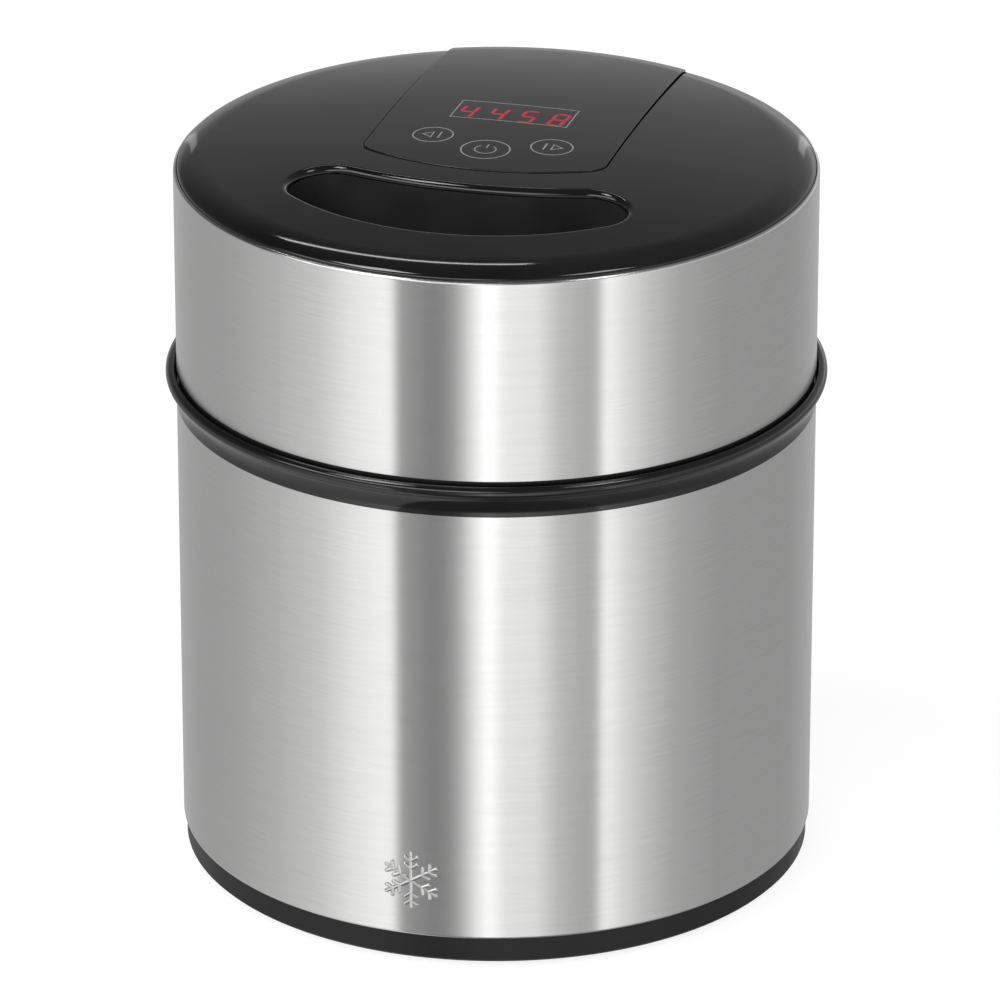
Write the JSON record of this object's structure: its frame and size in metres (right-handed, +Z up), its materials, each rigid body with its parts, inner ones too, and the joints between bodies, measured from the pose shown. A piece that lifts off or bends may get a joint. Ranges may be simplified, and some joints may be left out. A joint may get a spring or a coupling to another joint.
{
  "type": "ice cream maker",
  "caption": "Round steel-clad ice cream maker: lift-out freezer bowl, paddle and lift-off motor head with filling slot and touch panel.",
  "frame": {"origin": "on the table, under the centre of the housing", "axes": "+Z up, front at -Y, +X to the user's right"},
  "size_m": [0.2316, 0.2316, 0.265],
  "materials": {
    "brushed_steel": "finely brushed round the shell, satin",
    "gloss_black": "polished black plastic",
    "satin_black": "satin black moulded plastic",
    "rubber_black": "matt black rubber",
    "white_plastic": "white food-safe moulded plastic",
    "grey_plastic": "light grey moulded plastic",
    "aluminium": "spun aluminium, satin",
    "coolant": "pale blue gel",
    "zinc": "zinc plated screws",
    "steel_pin": "ground steel",
    "gear_plastic": "natural acetal",
    "bronze": "sintered bronze",
    "board_green": "solder mask over glass-epoxy",
    "display_red": "dark red display window",
    "component": "component cases",
    "tape_yellow": "transformer tape",
    "spring_gold": "plated spring wire",
    "ribbon_grey": "flat cable insulation",
    "lead_red": "lead insulation",
    "can_steel": "zinc plated sheet",
    "copper": "enamelled copper wire",
    "ferrite": "sintered ferrite"
  },
  "bodies": {
    "housing": {"rubber_feet": "rubber_black", "base_pan": "satin_black", "lower_shell": "brushed_steel", "snowflake_emblem": "brushed_steel", "inner_liner": "grey_plastic", "collar_ring": "gloss_black", "base_screws": "zinc"},
    "bowl": {"bowl_inner": "aluminium", "bowl_jacket": "white_plastic", "bowl_rim": "white_plastic", "coolant_fill": "coolant"},
    "paddle": {"paddle": "white_plastic"},
    "head": {"head_base": "satin_black", "head_band": "brushed_steel", "top_cover": "gloss_black", "control_panel": "gloss_black", "fill_chute": "gloss_black", "cord_gland": "rubber_black", "head_screws": "zinc", "led_display": "display_red", "touch_springs": "spring_gold", "control_board": "board_green", "board_screws": "zinc", "power_board": "board_green", "power_board_screws": "zinc", "transformer": "tape_yellow", "relay": "component", "capacitor": "component", "ribbon_cable": "ribbon_grey", "motor_leads": "lead_red", "gearbox_case": "grey_plastic", "gearbox_lid": "grey_plastic", "gearbox_screws": "zinc", "idler_axle": "steel_pin", "shaft_bush": "bronze", "shaft_seal": "rubber_black", "motor_can": "can_steel", "coil_bobbin": "white_plastic", "coil_winding": "copper", "stator_claws": "can_steel", "rotor_bushes": "bronze"},
    "drive_shaft": {"output_shaft": "steel_pin", "output_gear": "gear_plastic"},
    "idler": {"idler_gear": "gear_plastic"},
    "rotor": {"rotor_magnet": "ferrite", "rotor_shaft": "steel_pin", "rotor_pinion": "gear_plastic"}
  },
  "joints": [
    {"name": "bowl_lift", "type": "slide", "parent": "housing", "child": "bowl", "axis": [0, 0, 1], "range_m": [0, 0.17]},
    {"name": "head_lift", "type": "slide", "parent": "bowl", "child": "head", "axis": [0, 0, 1], "range_m": [0, 0.06]},
    {"name": "paddle_spin", "type": "hinge", "parent": "bowl", "child": "paddle", "pos_m": [0, 0, 0.1], "axis": [0, 0, 1], "continuous": true},
    {"name": "shaft_spin", "type": "hinge", "parent": "head", "child": "drive_shaft", "pos_m": [0, 0, 0.18], "axis": [0, 0, 1], "continuous": true},
    {"name": "idler_spin", "type": "hinge", "parent": "head", "child": "idler", "pos_m": [0, 0.0315, 0.19], "axis": [0, 0, 1], "continuous": true},
    {"name": "rotor_spin", "type": "hinge", "parent": "head", "child": "rotor", "pos_m": [0, 0.0571, 0.2], "axis": [0, 0, 1], "continuous": true}
  ],
  "couplings": [
    {"joint": "shaft_spin", "follows": "paddle_spin", "ratio": 1},
    {"joint": "idler_spin", "follows": "paddle_spin", "ratio": -3.5},
    {"joint": "rotor_spin", "follows": "paddle_spin", "ratio": 12.5}
  ]
}
